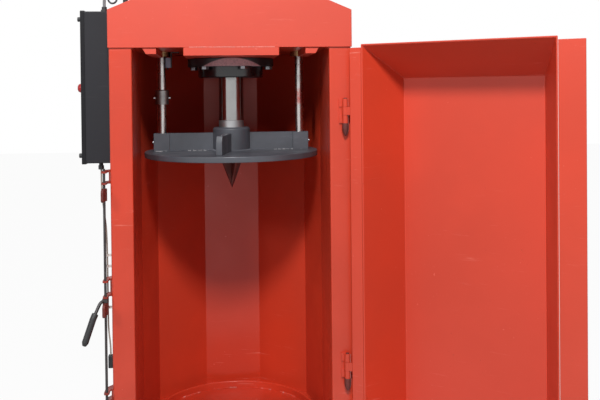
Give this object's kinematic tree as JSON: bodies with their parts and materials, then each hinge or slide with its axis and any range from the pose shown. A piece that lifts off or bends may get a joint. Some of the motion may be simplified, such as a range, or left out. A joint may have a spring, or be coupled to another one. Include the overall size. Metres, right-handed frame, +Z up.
{
  "type": "drum crusher",
  "caption": "Upright hydraulic press in an open steel cabinet that flattens a steel drum, with a swing door, side lock shaft and control box.",
  "frame": {"origin": "on the ground under the axis of the cylinder and the drum chamber", "axes": "+Z up along the cylinder, +X to the viewer's right, +Y to the back of the cabinet"},
  "size_m": [1.4524, 1.1006, 2.42],
  "materials": {
    "red_paint": "semi-gloss paint",
    "dark_red_paint": "worn paint",
    "platen_paint": "satin paint",
    "black_paint": "gloss paint",
    "chrome": "polished",
    "ground_steel": "ground",
    "plain_steel": "dull",
    "zinc_steel": "zinc plated",
    "bronze": "machined",
    "box_paint": "textured paint",
    "cover_paint": "textured paint",
    "black_plastic": "matte",
    "red_plastic": "gloss",
    "switch_plastic": "matte",
    "grey_conduit": "ribbed",
    "black_cable": "matte",
    "beige_lead": "matte"
  },
  "bodies": {
    "cabinet": {"base_frame": "red_paint", "box_body": "box_paint", "box_hinges": "zinc_steel", "cable_glands": "black_plastic", "chamber_wall": "red_paint", "conduit": "grey_conduit", "contactors": "black_plastic", "cylinder_barrel": "black_paint", "cylinder_flange": "black_paint", "cylinder_gland": "black_paint", "cylinder_plate": "red_paint", "din_rail": "plain_steel", "door_sensor": "black_plastic", "drum_ring": "red_paint", "flange_bolts": "zinc_steel", "flange_nuts": "zinc_steel", "floor_plate": "red_paint", "guide_bushes": "bronze", "header_cover": "red_paint", "header_floor": "red_paint", "header_front_plate": "red_paint", "header_rear_plate": "red_paint", "hinge_leaves": "red_paint", "hinge_pins": "dark_red_paint", "lead_clips": "plain_steel", "left_post": "red_paint", "limit_switch": "switch_plastic", "lock_brackets": "dark_red_paint", "looped_cable": "black_cable", "mounting_plate": "plain_steel", "rear_panel": "red_paint", "right_post": "red_paint", "sensor_lead": "beige_lead", "side_panels": "red_paint", "stiffeners": "red_paint", "switch_bracket": "plain_steel"},
    "ram": {"platen": "platen_paint", "ram_hub": "platen_paint", "ram_arms": "platen_paint", "ram_ribs": "platen_paint", "spike": "dark_red_paint", "piston_rod": "chrome", "piston": "ground_steel", "guide_rods": "ground_steel", "stop_collar": "plain_steel", "ram_screws": "zinc_steel"},
    "door": {"door_hinge_stile": "red_paint", "door_latch_stile": "red_paint", "door_pan": "red_paint", "door_knuckles": "red_paint"},
    "lock": {"lock_shaft": "plain_steel", "lock_cams": "plain_steel", "lock_handle": "plain_steel", "handle_grip": "black_plastic"},
    "box_door": {"box_cover": "cover_paint", "stop_button_base": "black_plastic"},
    "upper_lock": {"upper_cover_lock": "zinc_steel"},
    "lower_lock": {"lower_cover_lock": "zinc_steel"},
    "stop_head": {"stop_button": "red_plastic"},
    "plunger": {"switch_plunger": "black_plastic"}
  },
  "joints": [
    {"name": "ram_travel", "type": "slide", "parent": "cabinet", "child": "ram", "axis": [0, 0, 1], "range_m": [-0.77, 0.068]},
    {"name": "door_swing", "type": "hinge", "parent": "cabinet", "child": "door", "pos_m": [0.356, -0.3045, 0.75], "axis": [0, 0, -1], "range_deg": [-37, 143]},
    {"name": "lock_turn", "type": "hinge", "parent": "cabinet", "child": "lock", "pos_m": [-0.394, -0.308, 0.61], "axis": [0, 0, 1], "range_deg": [0, 90]},
    {"name": "box_swing", "type": "hinge", "parent": "cabinet", "child": "box_door", "pos_m": [-0.465, 0.1076, 1.274], "axis": [0, 0, -1], "range_deg": [0, 110]},
    {"name": "upper_lock_turn", "type": "hinge", "parent": "box_door", "child": "upper_lock", "pos_m": [-0.48, -0.176, 1.493], "axis": [1, 0, 0], "range_deg": [-90, 0]},
    {"name": "lower_lock_turn", "type": "hinge", "parent": "box_door", "child": "lower_lock", "pos_m": [-0.48, -0.176, 1.055], "axis": [-1, 0, 0], "range_deg": [-90, 0]},
    {"name": "stop_press", "type": "slide", "parent": "box_door", "child": "stop_head", "axis": [1, 0, 0], "range_m": [0, 0.005], "stiffness_N_per_m": 1200, "springref_m": -0.002},
    {"name": "plunger_press", "type": "slide", "parent": "cabinet", "child": "plunger", "axis": [0, 0, 1], "range_m": [0, 0.004], "stiffness_N_per_m": 300, "springref_m": -0.001}
  ]
}
